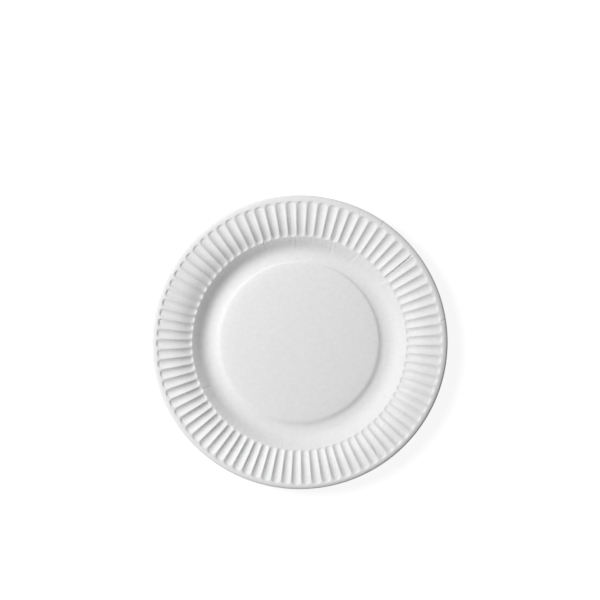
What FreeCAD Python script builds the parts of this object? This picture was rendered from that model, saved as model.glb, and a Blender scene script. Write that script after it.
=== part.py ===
# A round paper plate, pressed in one stroke from a single disc of board.
# From the middle outwards its section is a flat floor, a step down to the foot ring, a curved
# wall, a narrow level ledge, the arched and fluted rim, and a border that turns down.
# Millimetres and degrees. +Z is up, and the foot ring stands on Z = 0 about the Z axis.

import FreeCAD, Part
import math
import os

V = FreeCAD.Vector
AXIS = V(0, 0, 1)
ORIGIN = V(0, 0, 0)

# The board and the overall size
PLATE_DIAMETER = 180.0
BOARD = 0.4  # thickness of the board, the same everywhere

# Widths of the rings, measured level, from the edge of the plate inwards
BORDER_WIDTH = 2.4
LAND_WIDTH = 0.6  # the level top of the rim, outside the flutes
RIM_WIDTH = 21.4
LEDGE_WIDTH = 0.4  # the level ring that the flutes run out on
WALL_TOP_WIDTH = 2.0
WALL_WIDTH = 2.2
WALL_FOOT_WIDTH = 8.2  # the arc that brings the wall up from the foot ring
FOOT_WIDTH = 1.6
STEP_WIDTH = 4.0

# Heights and slopes of the section, a slope being positive where the board rises outwards
FLOOR_RISE = 1.4  # the floor above the foot ring
WALL_SLOPE = 49.0
WALL_TOP_SLOPE = 25.0
RIM_SLOPE = 33.0  # the rim where it leaves the ledge
CREST_SLOPE = 5.0  # the rim where it reaches the land
BORDER_SLOPE = -14.0

# The flutes, troughs that are pressed down into the rim
FLUTE_COUNT = 84
FLUTE_DEPTH = 0.8
FLANK_SLOPE = 37.0  # the two sides of a flute, against the rim
RIDGE_WIDTH = 1.1  # the strip of rim left between two flutes
RUN_OUT_LENGTH = 1.6  # in which a flute comes up to the land at its outer end
FLUTE_STRETCHES = 3  # straight stretches of a flute that follow the arch of the rim

PITCH = 2 * math.pi / FLUTE_COUNT


class Span:
    """One ring's line in the section, along the underside: straight, or an arc of even bend."""

    def __init__(self, x, z, width, slope, end_slope):
        self.x, self.z = x, z
        self.width = width
        self.slope, self.end_slope = math.radians(slope), math.radians(end_slope)
        self.end_x = x + width
        self.end_z = z + width * math.tan((self.slope + self.end_slope) / 2)

    def is_straight(self):
        return self.slope == self.end_slope

    def bend(self):
        """The arc's radius, negative where the board arches over."""
        return self.width / (math.sin(self.end_slope) - math.sin(self.slope))

    def point(self, slope, lift):
        """The point of the arc with this slope, lifted square to the board."""
        reach = self.bend() - lift
        centre_x = self.x - self.bend() * math.sin(self.slope)
        centre_z = self.z + self.bend() * math.cos(self.slope)
        return V(centre_x + reach * math.sin(slope), 0, centre_z - reach * math.cos(slope))


def section():
    """The underside's spans from the axis to the edge of the plate."""
    step_slope = -math.degrees(math.atan(FLOOR_RISE / STEP_WIDTH))
    rings = [
        ("step", STEP_WIDTH, step_slope, step_slope),
        ("foot", FOOT_WIDTH, 0, 0),
        ("wall foot", WALL_FOOT_WIDTH, 0, WALL_SLOPE),
        ("wall", WALL_WIDTH, WALL_SLOPE, WALL_SLOPE),
        ("wall top", WALL_TOP_WIDTH, WALL_TOP_SLOPE, WALL_TOP_SLOPE),
        ("ledge", LEDGE_WIDTH, 0, 0),
        ("rim", RIM_WIDTH, RIM_SLOPE, CREST_SLOPE),
        ("land", LAND_WIDTH, 0, 0),
        ("border", BORDER_WIDTH, BORDER_SLOPE, BORDER_SLOPE),
    ]
    edge_reach = BOARD * math.sin(math.radians(-BORDER_SLOPE))  # the cut edge leans outwards
    floor_radius = PLATE_DIAMETER / 2 - edge_reach - sum(ring[1] for ring in rings)
    spans = {"floor": Span(0, FLOOR_RISE, floor_radius, 0, 0)}
    last = spans["floor"]
    for name, *sizes in rings:
        last = Span(last.end_x, last.end_z, *sizes)
        spans[name] = last
    return spans


def meeting(before, after, lift):
    """The point where two spans meet, lifted square to both."""
    middle = (before.end_slope + after.slope) / 2
    reach = lift / math.cos((after.slope - before.end_slope) / 2)
    return V(after.x - reach * math.sin(middle), 0, after.z + reach * math.cos(middle))


def section_corners(spans, lift):
    """Where each span starts and ends, by its name, lifted above the underside."""
    rings = list(spans.values())
    border = rings[-1]
    corners = [V(0, 0, rings[0].z + lift)]
    corners += [meeting(before, after, lift) for before, after in zip(rings, rings[1:])]
    cut = V(-math.sin(border.end_slope), 0, math.cos(border.end_slope)) * lift
    corners.append(V(border.end_x, 0, border.end_z) + cut)
    return dict(zip(spans, zip(corners, corners[1:])))


def turned(point, angle):
    """The point turned about the plate's axis, by an angle in radians."""
    x = point.x * math.cos(angle) - point.y * math.sin(angle)
    y = point.x * math.sin(angle) + point.y * math.cos(angle)
    return V(x, y, point.z)


def ridge_angle(radius, lift):
    """Half the angle that a flute takes up, from ridge to ridge.

    The underside's flute is a little wider, so that the board keeps its thickness where it
    turns down into the flute.
    """
    spread = (BOARD - lift) * math.tan(math.radians(FLANK_SLOPE) / 2)
    return PITCH / 2 - (RIDGE_WIDTH / 2 - spread) / radius


def ridge_line(corner, lift):
    """Where the circle through a corner meets a flute's two ridges and the next flute's first."""
    angle = ridge_angle(corner.x, lift)
    return [turned(corner, turn) for turn in (-angle, angle, PITCH - angle)]


def flute_section(rim, slope, lift):
    """The corners across a flute and on over its ridge, where the rim has this slope."""
    crown = rim.point(slope, lift)
    floor = rim.point(slope, lift - FLUTE_DEPTH)
    angle = ridge_angle(crown.x, lift)
    half_floor = V(0, angle * crown.x - FLUTE_DEPTH / math.tan(math.radians(FLANK_SLOPE)), 0)
    return [
        turned(crown, -angle),
        floor - half_floor,
        floor + half_floor,
        turned(crown, angle),
        turned(crown, PITCH - angle),
    ]


def flute_slopes(rim, lift):
    """The slopes where a flute's sections stand.

    The first is where the flute's floor comes out level with the ledge, and the last is
    where the floor starts to run out to the land.
    """
    height = rim.bend() * math.cos(rim.slope) - lift
    first = math.acos(height / (rim.bend() - lift + FLUTE_DEPTH))
    last = rim.end_slope - RUN_OUT_LENGTH / rim.bend()
    step = (last - first) / FLUTE_STRETCHES
    return [first + step * number for number in range(FLUTE_STRETCHES + 1)]


def facet(*corners):
    return Part.Face(Part.makePolygon(corners + corners[:1]))


def flank(near, far, corner):
    """The slightly twisted side of a flute, from one corner to the next."""
    edges = [Part.LineSegment(row[corner], row[corner + 1]).toShape() for row in (near, far)]
    return Part.makeRuledSurface(*edges)


def fluted_pitch(sections, ledge, land):
    """One flute with the ridge beside it, between the ridge lines on the ledge and the land."""
    faces = []
    for near, far in zip(sections, sections[1:]):
        faces += [flank(near, far, 0), flank(near, far, 2)]
        faces.append(facet(near[1], far[1], far[2], near[2]))
        faces.append(facet(near[3], far[3], far[4], near[4]))
    for (left, right, beyond), ends in ((ledge, sections[0]), (land, sections[-1])):
        faces.append(facet(left, ends[0], ends[1]))
        faces.append(facet(right, ends[3], ends[2]))
        faces.append(facet(right, ends[3], ends[4], beyond))
    faces.append(facet(land[0], sections[-1][1], sections[-1][2], land[1]))
    return faces


def all_round(points):
    """The closed outline that repeats these points for each flute."""
    outline = [turned(point, PITCH * number) for number in range(FLUTE_COUNT) for point in points]
    return Part.makePolygon(outline + outline[:1])


def level_ring(outline, corner):
    """The level face between an outline and the circle through a corner of the section."""
    circle = Part.Wire(Part.makeCircle(corner.x, V(0, 0, corner.z), AXIS))
    return Part.makeFace([outline, circle], "Part::FaceMakerBullseye")


def fluted_skin(rim, corners, lift):
    """The ledge, the flutes and the land, lifted above the underside."""
    ledge_line = ridge_line(corners["rim"][0], lift)
    land_line = ridge_line(corners["rim"][1], lift)
    sections = [flute_section(rim, slope, lift) for slope in flute_slopes(rim, lift)]
    floor_left, floor_right = sections[0][1:3]
    scallops = all_round([ledge_line[0], floor_left, floor_right, ledge_line[1]])
    faces = [
        level_ring(scallops, corners["ledge"][0]),
        level_ring(all_round(land_line[:2]), corners["land"][1]),
    ]
    for face in fluted_pitch(sections, ledge_line, land_line):
        for number in range(FLUTE_COUNT):
            copy = face.copy()
            copy.rotate(ORIGIN, AXIS, math.degrees(PITCH * number))
            faces.append(copy)
    return faces


def turned_face(edge):
    return edge.revolve(ORIGIN, AXIS, 360).Faces[0]


def plain_skin(spans, corners, lift):
    """The rings that are plain turned surfaces, lifted above the underside."""
    faces = []
    for name, span in spans.items():
        start, end = corners[name]
        if name in ("ledge", "rim", "land"):
            continue
        if span.is_straight():
            edge = Part.LineSegment(start, end)
        else:
            edge = Part.Arc(start, span.point((span.slope + span.end_slope) / 2, lift), end)
        faces.append(turned_face(edge.toShape()))
    return faces


def paper_plate():
    """The whole skin of the plate, sewn into one closed solid."""
    spans = section()
    faces, edge_ends = [], []
    for lift in (0, BOARD):
        corners = section_corners(spans, lift)
        faces += plain_skin(spans, corners, lift)
        faces += fluted_skin(spans["rim"], corners, lift)
        edge_ends.append(corners["border"][1])
    faces.append(turned_face(Part.LineSegment(*edge_ends).toShape()))
    skin = Part.makeCompound(faces)
    skin.sewShape(1e-5)
    return Part.Solid(skin.Shells[0])


plate = paper_plate()
print("valid", plate.isValid(), "faces", len(plate.Faces), "shells", len(plate.Shells))
print("volume cm3", round(plate.Volume / 1000, 3), "closed", plate.Shells[0].isClosed())
os.makedirs("parts", exist_ok=True)
plate.exportStep("parts/plate.step")
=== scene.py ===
# %% [markdown]
# # A pressed paper plate
# The object is one disc of white board, pressed between two hot dies. The dies give it a flat
# floor, a foot ring to stand on, a curved wall and a rim of 84 flutes, which stiffen it as the
# folds of a fan do. The board can't stretch, so it gathers into small creases here and there.
# This lesson turns the plate's section on a lathe, presses the flutes into it, and then gives
# the sheet its thickness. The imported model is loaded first, because the plate has to fit it.

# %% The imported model
import math

import bpy
import numpy as np
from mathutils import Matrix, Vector


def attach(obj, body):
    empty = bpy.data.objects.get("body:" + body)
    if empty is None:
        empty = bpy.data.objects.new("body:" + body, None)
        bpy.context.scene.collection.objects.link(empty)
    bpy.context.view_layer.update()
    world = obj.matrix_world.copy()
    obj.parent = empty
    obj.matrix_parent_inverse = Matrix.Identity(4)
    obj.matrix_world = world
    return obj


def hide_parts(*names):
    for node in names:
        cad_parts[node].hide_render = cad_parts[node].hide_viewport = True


MM = 0.001
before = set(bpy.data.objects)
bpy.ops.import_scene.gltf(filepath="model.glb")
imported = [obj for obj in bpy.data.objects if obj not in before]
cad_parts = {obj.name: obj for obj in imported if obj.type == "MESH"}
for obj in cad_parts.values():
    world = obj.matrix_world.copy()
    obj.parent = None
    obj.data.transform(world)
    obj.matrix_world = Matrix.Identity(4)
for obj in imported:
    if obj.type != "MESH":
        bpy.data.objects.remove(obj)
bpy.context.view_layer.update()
bpy.context.scene.view_settings.view_transform = "Standard"

# %% [markdown]
# ## The section of the board
# A round thing is drawn as half of its section. It could be a curve with handles, but a pressed
# sheet is easier to describe by how steeply it rises at each radius: level on the floor, down to
# the foot ring, up the wall, and over the arched rim. Between two radii the slope changes
# evenly, so each stretch is an arc, and the height is the slope added up on the way out.

# %% Slopes along the section
PLATE_RADIUS = 90.0
BOARD = 0.4
SLOPES = (  # radius in mm, slope in degrees
    (0.0, 0.0),
    (38.0, 0.0),
    (47.2, -4.0),
    (48.9, -18.0),
    (49.7, -18.9),
    (50.8, -18.5),
    (52.5, -5.5),
    (54.4, 0.5),
    (60.4, 41.0),
    (61.6, 44.0),
    (63.2, 43.0),
    (65.2, 37.0),
    (66.2, 31.5),
    (67.4, 32.0),
    (68.6, 32.0),
    (71.0, 28.0),
    (73.3, 22.6),
    (75.6, 17.8),
    (78.0, 13.8),
    (80.4, 11.0),
    (83.7, 9.0),
    (87.3, 5.0),
    (88.2, -6.0),
    (88.8, -13.0),
    (89.3, -26.0),
    (PLATE_RADIUS, -58.0),
)
SMALL_STEPS = 3600  # from the axis to the cut edge


def section_heights():
    """Radii in small steps and the height of the board's upper face at each."""
    radii = np.linspace(0, PLATE_RADIUS, SMALL_STEPS + 1)
    slope_radii, slopes = zip(*SLOPES)
    rise = np.tan(np.radians(np.interp(radii, slope_radii, slopes)))
    heights = np.concatenate([[0], np.cumsum((rise[1:] + rise[:-1]) / 2 * np.diff(radii))])
    return radii, heights - heights.min() + BOARD


section_radii, section_z = section_heights()
print("height of the crown:", round(float(section_z.max()), 2), "mm")

# %% [markdown]
# ## Rings for the lathe
# The lathe needs the section as a chain of points. They stand close together where the board
# bends, on the step, the wall and both ends of the flutes, and wide apart on the flat floor.

# %% Radii of the rings
RING_BANDS = (  # up to this radius in mm, in this many rings
    (36.0, 1),
    (47.4, 3),
    (48.7, 2),
    (50.4, 7),
    (51.4, 1),
    (53.6, 2),
    (64.8, 7),
    (67.0, 8),
    (69.0, 2),
    (84.0, 6),
    (87.4, 10),
    (PLATE_RADIUS, 6),
)


def ring_radii():
    radii = [0.0]
    for outer, count in RING_BANDS:
        inner = radii[-1]
        radii += [inner + (outer - inner) * number / count for number in range(1, count + 1)]
    return radii


rings = ring_radii()
print("rings:", len(rings))

# %% [markdown]
# ## Drawing and turning the section
# A plane is merged to a single point in the middle of the plate. The point is drawn out from
# ring to ring, as one would by hand with the extrude key, and the chain is spun once round the
# axis. Each flute gets ten columns of faces, enough for a rounded ridge and a smooth trough.

# %% Turn the plate
FLUTES = 84
COLUMNS = 10
WELD = 0.001  # mm


def section_height(radius):
    return float(np.interp(radius, section_radii, section_z))


def start_chain(height):
    """A new mesh with one point on the axis, left in edit mode."""
    bpy.ops.object.select_all(action="DESELECT")
    bpy.ops.mesh.primitive_plane_add(size=MM, location=(0, 0, height * MM))
    bpy.ops.object.transform_apply(location=True, rotation=True, scale=True)
    bpy.ops.object.mode_set(mode="EDIT")
    bpy.ops.mesh.select_all(action="SELECT")
    bpy.ops.mesh.merge(type="CENTER")
    return bpy.context.object


def draw_chain(radii):
    """Draw the selected point out along the section."""
    for near, far in zip(radii, radii[1:]):
        move = Vector((far - near, 0, section_height(far) - section_height(near))) * MM
        bpy.ops.mesh.extrude_vertices_move(TRANSFORM_OT_translate={"value": move})


def turn_plate():
    plate = start_chain(section_height(0))
    plate.name = plate.data.name = "pressed_plate"
    draw_chain(rings)
    bpy.ops.mesh.select_all(action="SELECT")
    bpy.ops.mesh.spin(steps=FLUTES * COLUMNS, angle=math.tau, center=(0, 0, 0), axis=(0, 0, 1))
    bpy.ops.mesh.select_all(action="SELECT")
    bpy.ops.mesh.remove_doubles(threshold=WELD * MM)
    bpy.ops.mesh.normals_make_consistent(inside=False)
    bpy.ops.object.mode_set(mode="OBJECT")
    return plate


plate = turn_plate()
print("turned plate:", len(plate.data.vertices), "points,", len(plate.data.polygons), "faces")

# %% [markdown]
# ## Where the flutes stand
# The flutes aren't spaced quite evenly: on one side of the plate they are a little wider than
# on the other. Two waves round the plate describe how far each ridge is off its even place, in
# shares of the distance between two ridges. Every column of the mesh gets the angle of its
# place, closer together at the ridges, so that each ridge has a column along its top.

# %% Columns follow the ridges
PITCH = math.tau / FLUTES
FIRST_RIDGE = 0.27
RIDGE_WAVES = ((1, 0.347, -0.077), (2, 0.024, 0.062))  # waves round the plate, cosine, sine
RIDGE_OFFSET = 0.047
ROUNDS = 4  # each round brings the angle closer to its final place
COLUMN_PLACES = (0, 0.05, 0.11, 0.22, 0.36, 0.5, 0.64, 0.78, 0.89, 0.95)


def ridge_angle(number):
    """The angle of a ridge, counted from the first. Numbers between ridges are allowed."""
    even = PITCH * (number + FIRST_RIDGE)
    angle = even
    for _ in range(ROUNDS):
        off = RIDGE_OFFSET
        for waves, cosine, sine in RIDGE_WAVES:
            off = off + cosine * np.cos(waves * angle) + sine * np.sin(waves * angle)
        angle = even - PITCH * off
    return angle


def read_points(mesh):
    points = np.empty(len(mesh.vertices) * 3)
    mesh.vertices.foreach_get("co", points)
    return points.reshape(-1, 3) / MM


def write_points(mesh, points):
    mesh.vertices.foreach_set("co", (points * MM).ravel())
    mesh.update()


def flute_places(points):
    """Radius, number of the flute, place across it from 0 to 1, and final angle of each point."""
    radius = np.hypot(points[:, 0], points[:, 1])
    turn = np.arctan2(points[:, 1], points[:, 0]) % math.tau
    column = np.round(turn / PITCH * COLUMNS, 3) % (FLUTES * COLUMNS)
    flute = (column // COLUMNS).astype(int)
    place = np.interp(column % COLUMNS, range(COLUMNS + 1), COLUMN_PLACES + (1,))
    return radius, flute, place, ridge_angle(flute + place)


print("first ridge at", round(math.degrees(ridge_angle(0)), 1), "degrees")

# %% [markdown]
# ## Creases
# Where the board gathers it creases, and each crease has its own place on this plate. Narrow
# ones are round grooves: pleats on the wall just under the flutes, and nicks across the border.
# Wide ones come to a sharp line: a fold down one flute, and a few soft bends across others,
# some of them raised, with a depth below zero. They could be painted, but a real fold catches
# the light from every side, so they are folded into the sheet.

# %% Where the board is creased
NARROW_CREASES = (  # start and end as angle in degrees and radius in mm, depth, half width
    ((7.0, 65.0), (7.4, 66.8), 0.3, 0.6),
    ((8.7, 87.6), (8.7, 90.0), 0.3, 0.5),
    ((36.2, 62.6), (36.4, 65.6), 0.2, 0.45),
    ((37.5, 61.6), (37.4, 65.6), 0.25, 0.45),
    ((38.8, 62.6), (38.6, 65.4), 0.2, 0.45),
    ((55.0, 87.6), (55.0, 90.0), 0.25, 0.45),
    ((58.0, 58.8), (56.9, 65.2), 0.2, 0.5),
    ((65.0, 87.4), (65.0, 90.0), 0.1, 0.4),
    ((70.7, 59.4), (71.6, 65.0), 0.25, 0.5),
    ((91.6, 60.0), (91.8, 65.4), 0.1, 0.45),
    ((94.4, 60.8), (94.2, 65.6), 0.12, 0.45),
    ((98.5, 87.6), (98.5, 90.0), 0.15, 0.45),
    ((108.7, 60.6), (109.4, 65.6), 0.17, 0.5),
    ((170.4, 85.2), (170.9, 86.6), 0.35, 0.6),
    ((206.0, 60.8), (205.8, 65.8), 0.25, 0.5),
)
WIDE_CREASES = (
    ((37.2, 65.6), (37.6, 76.0), 0.3, 0.8),
    ((37.6, 76.0), (37.9, 86.4), 0.5, 0.95),
    ((71.9, 65.8), (71.0, 68.8), 0.3, 0.8),
    ((71.0, 68.8), (71.7, 75.0), 0.25, 0.7),
    ((93.0, 66.0), (93.2, 86.0), -0.15, 0.7),
    ((109.6, 66.2), (111.2, 85.0), -0.2, 0.8),
    ((136.5, 67.5), (136.5, 84.5), -0.2, 0.6),
    ((304.7, 83.8), (306.0, 76.0), 0.35, 0.7),
    ((334.5, 68.0), (334.6, 84.0), 0.12, 0.7),
)


def polar(angle, radius):
    angle = math.radians(angle)
    return np.array([radius * math.cos(angle), radius * math.sin(angle)])


def distance_to_crease(spots, start, end):
    """Distance of flat points from the line from start to end."""
    start, end = polar(*start), polar(*end)
    along = np.clip((spots - start) @ (end - start) / ((end - start) @ (end - start)), 0, 1)
    return np.linalg.norm(spots - start - along[:, None] * (end - start), axis=1)


def crease_depth(spots):
    depth = np.zeros(len(spots))
    for start, end, deep, half_width in NARROW_CREASES:
        near = np.clip(1 - distance_to_crease(spots, start, end) / half_width, 0, 1)
        depth += deep * near * (2 - near)
    for start, end, deep, half_width in WIDE_CREASES:
        near = np.clip(1 - distance_to_crease(spots, start, end) / half_width, 0, 1)
        depth += deep * near ** 2
    return depth


print("creases:", len(NARROW_CREASES), "narrow and", len(WIDE_CREASES), "wide")

# %% [markdown]
# ## More points under the creases
# A line can only be as sharp as the mesh is fine. The whole plate could be made finer, but the
# creases cover little of it, so only the faces that touch one are selected and subdivided. The
# mesh lets faces be selected in object mode, and the operator then works in edit mode.

# %% Subdivide under the creases
SUBDIVIDED_MARGIN = 0.1  # mm beyond the crease


def flat_spots(radius, angle):
    return np.stack([radius * np.cos(angle), radius * np.sin(angle)], axis=1)


def subdivide_creases(plate):
    radius, _, _, angle = flute_places(read_points(plate.data))
    spots = flat_spots(radius, angle)
    near = np.zeros(len(spots), bool)
    for start, end, _, half_width in NARROW_CREASES + WIDE_CREASES:
        near |= distance_to_crease(spots, start, end) < half_width + SUBDIVIDED_MARGIN
    bpy.ops.object.mode_set(mode="EDIT")
    bpy.ops.mesh.select_all(action="DESELECT")
    bpy.ops.object.mode_set(mode="OBJECT")
    for face in plate.data.polygons:
        face.select = any(near[corner] for corner in face.vertices)
    bpy.ops.object.mode_set(mode="EDIT")
    bpy.ops.mesh.subdivide(number_cuts=1)
    bpy.ops.object.mode_set(mode="OBJECT")


subdivide_creases(plate)
print("faces after subdividing:", len(plate.data.polygons))

# %% [markdown]
# ## The shape of one trough
# Across a flute the board is a wide, shallow trough, and it turns over in a narrow rounded
# ridge. Both are parabolas that meet at the same slope. Each end of the trough is a short steep
# wall, after which the trough still deepens gently, and its four corners are round.

# %% Across and along a trough
CORNER_START = 0.15  # share of the half width
END_SHARE = 0.13  # of the steep part, rounded at its top


def dished(share, edge_share):
    """Depth of a trough from its edge, 0, to its bottom, 1, with a rounded edge."""
    share = np.clip(share, 0, 1)
    edge = share ** 2 / edge_share
    trough = 1 - (1 - share) ** 2 / (1 - edge_share)
    return np.where(share < edge_share, edge, trough)


def corner(side, size):
    """How far a rounded corner draws the end of the trough in, towards its sides."""
    inwards = np.clip((side - CORNER_START) / (1 - CORNER_START), 0, 1)
    return size * (1 - np.sqrt(1 - inwards ** 2))


def end_depth(distance, steep_part, gentle_run):
    """Depth along a trough at a distance from its end: a short steep part, then a gentle one."""
    steep_share, steep_run = steep_part
    steep = dished(distance / steep_run, END_SHARE)
    gentle = np.clip(distance / gentle_run, 0, 1)
    return steep_share * steep + (1 - steep_share) * gentle * (2 - gentle)


print("depth halfway to the bottom of a trough:", round(float(dished(0.5, END_SHARE)), 2))

# %% [markdown]
# ## Pressing the flutes
# Each flute could be a mesh of its own, but the sheet is one piece, so the depth is worked out
# for every point and taken off its height. Towards the border the ridges get a little wider.
# The flutes are a little deeper on one side of the plate, and no two are quite the same. Their
# differences come from a random generator with a fixed seed, and so they stay the same.

# %% Depth of the flutes
SEED = 7
FLUTE_DEPTH = 1.26
DEPTH_SPREAD = 0.05
DEEPER = 0.12
DEEPER_SIDE = math.radians(260)
RIDGE_SHARE = 0.13  # of half the distance between two ridges
INNER_END = 65.5
INNER_CORNER = 2.2
INNER_STEEP = (0.34, 1.5)  # share of the depth, length of the steep part in mm
INNER_GENTLE_RUN = 4.5
OUTER_END = 87.0
OUTER_CORNER = 3.0
OUTER_SPREAD = 0.12
OUTER_STEEP = (0.64, 1.1)
OUTER_GENTLE_RUN = 9.0
NARROW = 0.17  # how much narrower a trough is at its outer end
NARROW_RUN = 4.0
random = np.random.default_rng(SEED)
deeper = random.normal(0, DEPTH_SPREAD, FLUTES)
longer = random.normal(0, OUTER_SPREAD, FLUTES)


def flute_depth(radius, flute, place, angle):
    near_end = np.clip(1 - (OUTER_END - radius) / NARROW_RUN, 0, 1)
    side = np.minimum(np.abs(2 * place - 1) * (1 + NARROW * near_end ** 2), 1)
    across = dished(1 - side, RIDGE_SHARE)
    from_inner = radius - INNER_END - corner(side, INNER_CORNER)
    from_outer = OUTER_END + longer[flute] - corner(side, OUTER_CORNER) - radius
    inner = end_depth(from_inner, INNER_STEEP, INNER_GENTLE_RUN)
    outer = end_depth(from_outer, OUTER_STEEP, OUTER_GENTLE_RUN)
    uneven = 1 + DEEPER * np.cos(angle - DEEPER_SIDE) + deeper[flute]
    return FLUTE_DEPTH * uneven * across * inner * outer


radius, flute, place, angle = flute_places(read_points(plate.data))
height = np.interp(radius, section_radii, section_z)
flutes = flute_depth(radius, flute, place, angle)
height -= flutes + crease_depth(flat_spots(radius, angle))
print("deepest flute:", round(float(flutes.max()), 2), "mm")

# %% [markdown]
# ## Fine pleats on the wall
# Under the flutes the wall has pleats finer than any crease. The same generator gives each
# column of the mesh a small depth of its own, which fades out above and below.

# %% Pleats
PLEATS = 0.05
PLEATED_BAND = (60.5, 63.5, 65.0, 66.0)  # radii in mm: none, full, full, none
pleats = random.normal(0, PLEATS, FLUTES * COLUMNS)


def pleat_depth(radius, angle):
    number = (angle / math.tau * len(pleats)).astype(int) % len(pleats)
    return pleats[number] * np.interp(radius, PLEATED_BAND, (0, 1, 1, 0))


height -= pleat_depth(radius, angle)
print("deepest pleat:", round(float(pleats.max()), 2), "mm")

# %% [markdown]
# ## The step down to the foot ring
# The dies didn't meet quite squarely. To the lower right the step down from the floor is
# steeper, and to the upper right its middle is sharper. The section is the same all round, so
# both are added here as a change of height that tilts the board about a radius.

# %% Step
SHARP_PART = (49.8, 0.5)  # middle and half width in mm
SHARPER = 0.17
SHARPER_SIDE = math.radians(75)
SHARPER_FADE = 4  # how fast it fades away from that side
STEEP_PART = (50.4, 1.4)
STEEPER = (0.07, 0.09)  # all round, and more on one side
STEEPER_SIDE = math.radians(-20)


def tilt(radius, middle, half_width):
    """From below zero inside the middle to above zero outside it, and none farther away."""
    across = (radius - middle) / half_width
    return across * np.exp((1 - across ** 2) / 2)


sharper = SHARPER * ((1 + np.cos(angle - SHARPER_SIDE)) / 2) ** SHARPER_FADE
steeper = STEEPER[0] + STEEPER[1] * np.cos(angle - STEEPER_SIDE)
height -= sharper * tilt(radius, *SHARP_PART) + steeper * tilt(radius, *STEEP_PART)
print("largest change at the step:", round(float(max(sharper.max(), steeper.max())), 2), "mm")

# %% [markdown]
# ## Not quite round
# A real plate has been cut, pressed and stacked. Its outline is a little oval and bulges on one
# side, its border curls down more on the other, and the floor isn't quite in the middle of the
# rim. The whole plate is then set on its foot ring.

# %% Out of true
OVAL = 0.36
BULGE = 0.4
BULGED_SIDE = math.radians(160)
CURL = 0.25
CURLED_SIDE = math.radians(-28)
OFF_CENTRE = (-0.18, -0.72)  # mm to the right and up, of all that lies inside the rim
OFF_CENTRE_FADE = (70.0, OUTER_END, PLATE_RADIUS)
OFF_CENTRE_SHARES = (1, 0.6, 0)
STEP_OFF_CENTRE = (-0.4, 0.28)  # of the floor and its step, besides
STEP_OFF_CENTRE_FADE = (54.0, 62.0)


def outline(radius, angle, border):
    """Radius of each point once the plate is oval and bulges."""
    reach = radius + OVAL * (radius / PLATE_RADIUS) ** 3 * (np.cos(2 * angle) - 1)
    return reach + BULGE * border * np.clip(np.cos(angle - BULGED_SIDE), 0, 1) ** 2


border = np.clip((radius - OUTER_END) / (PLATE_RADIUS - OUTER_END), 0, 1)
height -= CURL * border ** 2 * np.cos(angle - CURLED_SIDE)
height += BOARD - height.min()
inside = np.interp(radius, OFF_CENTRE_FADE, OFF_CENTRE_SHARES)
floor_part = np.interp(radius, STEP_OFF_CENTRE_FADE, (1, 0))
spots = flat_spots(outline(radius, angle, border), angle)
spots += inside[:, None] * OFF_CENTRE
spots += floor_part[:, None] * STEP_OFF_CENTRE
points = np.column_stack([spots, height])
write_points(plate.data, points)
print("lowest and highest point of the upper face:", points[:, 2].min(), points[:, 2].max())

# %% [markdown]
# ## The thickness of the board
# So far the plate is a skin, the upper face of the board. Solidify gives it its thickness
# downwards and closes it with the cut edge. The smooth shading stops at that edge.

# %% Solidify
SMOOTH_UP_TO = math.radians(60)


def apply_modifier(piece, kind, **settings):
    bpy.context.view_layer.objects.active = piece
    modifier = piece.modifiers.new(kind.title(), kind)
    for name, value in settings.items():
        setattr(modifier, name, value)
    bpy.ops.object.modifier_apply(modifier=modifier.name)


bpy.ops.object.select_all(action="DESELECT")
plate.select_set(True)
apply_modifier(plate, "SOLIDIFY", thickness=BOARD * MM, offset=-1)
bpy.ops.object.shade_smooth_by_angle(angle=SMOOTH_UP_TO)
triangles = sum(len(face.vertices) - 2 for face in plate.data.polygons)
print("triangles:", triangles)

# %% [markdown]
# ## White board
# The board is uncoated and matt. Its fibres lie in clouds a few millimetres across, a shade
# lighter and darker, and its surface has a fine tooth. Both are noise textures on the plate's
# own coordinates, so the board looks the same from every side.

# %% Material of the board
CLOUD_SCALE = 380
CLOUD_CONTRAST = (0.25, 0.75)  # part of the noise that is used
CLOUD_SHADES = (0.725, 0.77)
TOOTH_SCALE = 2600
TOOTH_HEIGHT = 0.05  # mm
TOOTH_STRENGTH = 0.15
BOARD_ROUGHNESS = 0.85
BOARD_SPECULAR = 0.3


def new_material(name):
    material = bpy.data.materials.new(name)
    material.use_nodes = True
    nodes = material.node_tree.nodes
    return material, nodes, material.node_tree.links, nodes["Principled BSDF"]


def add_noise(nodes, scale, detail):
    noise = nodes.new("ShaderNodeTexNoise")
    noise.inputs["Scale"].default_value = scale
    noise.inputs["Detail"].default_value = detail
    return noise


def board_material():
    material, nodes, links, shader = new_material("white_board")
    place = nodes.new("ShaderNodeTexCoord")
    clouds = add_noise(nodes, CLOUD_SCALE, 5)
    tooth = add_noise(nodes, TOOTH_SCALE, 3)
    shade = nodes.new("ShaderNodeMapRange")
    sockets = ("From Min", "From Max", "To Min", "To Max")
    for socket, value in zip(sockets, CLOUD_CONTRAST + CLOUD_SHADES):
        shade.inputs[socket].default_value = value
    bump = nodes.new("ShaderNodeBump")
    bump.inputs["Strength"].default_value = TOOTH_STRENGTH
    bump.inputs["Distance"].default_value = TOOTH_HEIGHT * MM
    links.new(place.outputs["Object"], clouds.inputs["Vector"])
    links.new(place.outputs["Object"], tooth.inputs["Vector"])
    links.new(clouds.outputs["Fac"], shade.inputs["Value"])
    links.new(shade.outputs["Result"], shader.inputs["Base Color"])
    links.new(tooth.outputs["Fac"], bump.inputs["Height"])
    links.new(bump.outputs["Normal"], shader.inputs["Normal"])
    shader.inputs["Roughness"].default_value = BOARD_ROUGHNESS
    shader.inputs["Specular IOR Level"].default_value = BOARD_SPECULAR
    return material


plate.data.materials.clear()
plate.data.materials.append(board_material())
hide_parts("plate")
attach(plate, "root")
print("material of the plate:", plate.data.materials[0].name)

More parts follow.
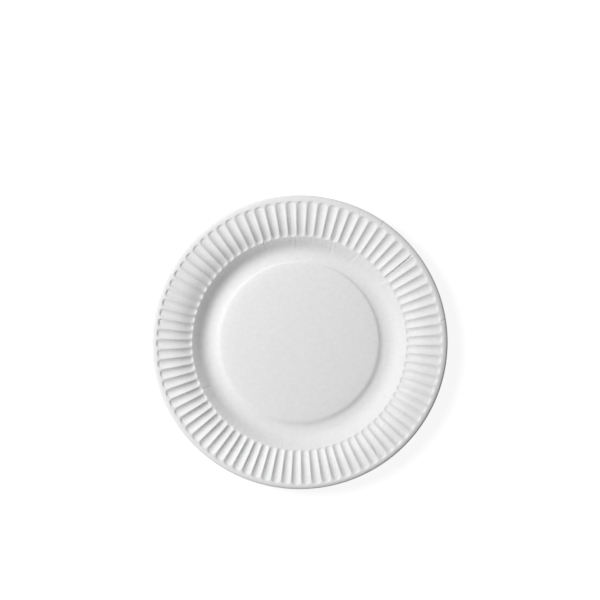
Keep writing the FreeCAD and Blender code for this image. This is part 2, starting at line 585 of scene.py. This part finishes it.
# %% [markdown]
# ## White floor
# The plate stands on a plain white floor. For the light it is diffuse white, as paper is. The
# camera would see it grey wherever the lamp falls off, so rays that come straight from the
# camera, or through a mirror or glass, meet a glowing white with a faint shadow instead.

# %% Floor
FLOOR_SIZE = 6  # metres
FLOOR_WHITE = (0.8, 0.8, 0.8, 1)
FAINT_GREY = (0.22, 0.22, 0.22, 1)  # the lamp lights it, so it shows the shadow
GLOW = 0.89


def seen_by_eye(nodes, links):
    """1 for rays from the camera, a mirror or glass, and 0 for the light's own rays."""
    path = nodes.new("ShaderNodeLightPath")
    direct_or_mirrored = nodes.new("ShaderNodeMath")
    any_view = nodes.new("ShaderNodeMath")
    any_view.use_clamp = True
    links.new(path.outputs["Is Camera Ray"], direct_or_mirrored.inputs[0])
    links.new(path.outputs["Is Glossy Ray"], direct_or_mirrored.inputs[1])
    links.new(direct_or_mirrored.outputs["Value"], any_view.inputs[0])
    links.new(path.outputs["Is Transmission Ray"], any_view.inputs[1])
    return any_view.outputs["Value"]


def floor_material():
    material, nodes, links, shader = new_material("white_floor")
    shader.inputs["Base Color"].default_value = FLOOR_WHITE
    shader.inputs["Roughness"].default_value = 1
    shader.inputs["Specular IOR Level"].default_value = 0
    faint = nodes.new("ShaderNodeBsdfDiffuse")
    faint.inputs["Color"].default_value = FAINT_GREY
    glow = nodes.new("ShaderNodeEmission")
    glow.inputs["Strength"].default_value = GLOW
    seen = nodes.new("ShaderNodeAddShader")
    either = nodes.new("ShaderNodeMixShader")
    links.new(faint.outputs["BSDF"], seen.inputs[0])
    links.new(glow.outputs["Emission"], seen.inputs[1])
    links.new(seen_by_eye(nodes, links), either.inputs["Fac"])
    links.new(shader.outputs["BSDF"], either.inputs[1])
    links.new(seen.outputs["Shader"], either.inputs[2])
    links.new(either.outputs["Shader"], nodes["Material Output"].inputs["Surface"])
    return material


bpy.ops.object.select_all(action="DESELECT")
bpy.ops.mesh.primitive_plane_add(size=FLOOR_SIZE, location=(0, 0, 0))
floor = bpy.context.object
floor.name = "studio_floor"
floor.data.materials.append(floor_material())
print("floor:", FLOOR_SIZE, "m wide")

# %% [markdown]
# ## Light
# A soft round lamp shines from the upper left, at about half the height of the sky. It gives
# every flute a light and a dark flank. The white room adds a smaller part of the light, so that
# the shadows stay open.

# %% Lamp and room
LIGHT_AZIMUTH = 156  # degrees
LIGHT_ELEVATION = 49
LIGHT_DISTANCE = 0.75  # metres
LAMP_SIZE = 0.4
LAMP_POWER = 6.3  # watts
ROOM_LIGHT = 0.163


def direction(azimuth, elevation):
    azimuth, elevation = math.radians(azimuth), math.radians(elevation)
    level = math.cos(elevation)
    return Vector((level * math.cos(azimuth), level * math.sin(azimuth), math.sin(elevation)))


def aim(thing, target):
    thing.rotation_euler = (thing.location - target).to_track_quat("Z", "Y").to_euler()


lamp_data = bpy.data.lights.new("soft_lamp", "AREA")
lamp_data.shape = "DISK"
lamp_data.size = LAMP_SIZE
lamp_data.energy = LAMP_POWER
lamp = bpy.data.objects.new("soft_lamp", lamp_data)
bpy.context.scene.collection.objects.link(lamp)
lamp.location = direction(LIGHT_AZIMUTH, LIGHT_ELEVATION) * LIGHT_DISTANCE
aim(lamp, Vector((0, 0, 0)))

world = bpy.data.worlds.new("white_room")
bpy.context.scene.world = world
world.use_nodes = True
background = world.node_tree.nodes["Background"]
background.inputs["Color"].default_value = (1, 1, 1, 1)
background.inputs["Strength"].default_value = ROOM_LIGHT
print("lamp at", [round(v, 2) for v in lamp.location])

# %% [markdown]
# ## Camera
# The camera looks straight down, as in the photograph. Its height follows from how many pixels
# the plate's radius covers, and its place from where the plate's middle lies in the picture.

# %% Camera over the plate
IMAGE_SIZE = 600  # pixels
PLATE_CENTRE = (299.6, 342.3)
PLATE_PIXELS = 148.2  # the plate's radius
LENS = 100
SENSOR = 36

pixel = PLATE_RADIUS * MM / PLATE_PIXELS
distance = pixel * IMAGE_SIZE * LENS / SENSOR
rim_centre = Vector((0, 0, section_z.max() * MM))
right = IMAGE_SIZE / 2 - PLATE_CENTRE[0]
up = PLATE_CENTRE[1] - IMAGE_SIZE / 2
camera_data = bpy.data.cameras.new("camera")
camera_data.lens = LENS
camera_data.sensor_width = SENSOR
camera = bpy.data.objects.new("camera", camera_data)
bpy.context.scene.collection.objects.link(camera)
camera.location = rim_centre + Vector((right, up, 0)) * pixel + Vector((0, 0, distance))
bpy.context.scene.camera = camera
print("camera at", [round(v, 3) for v in camera.location])
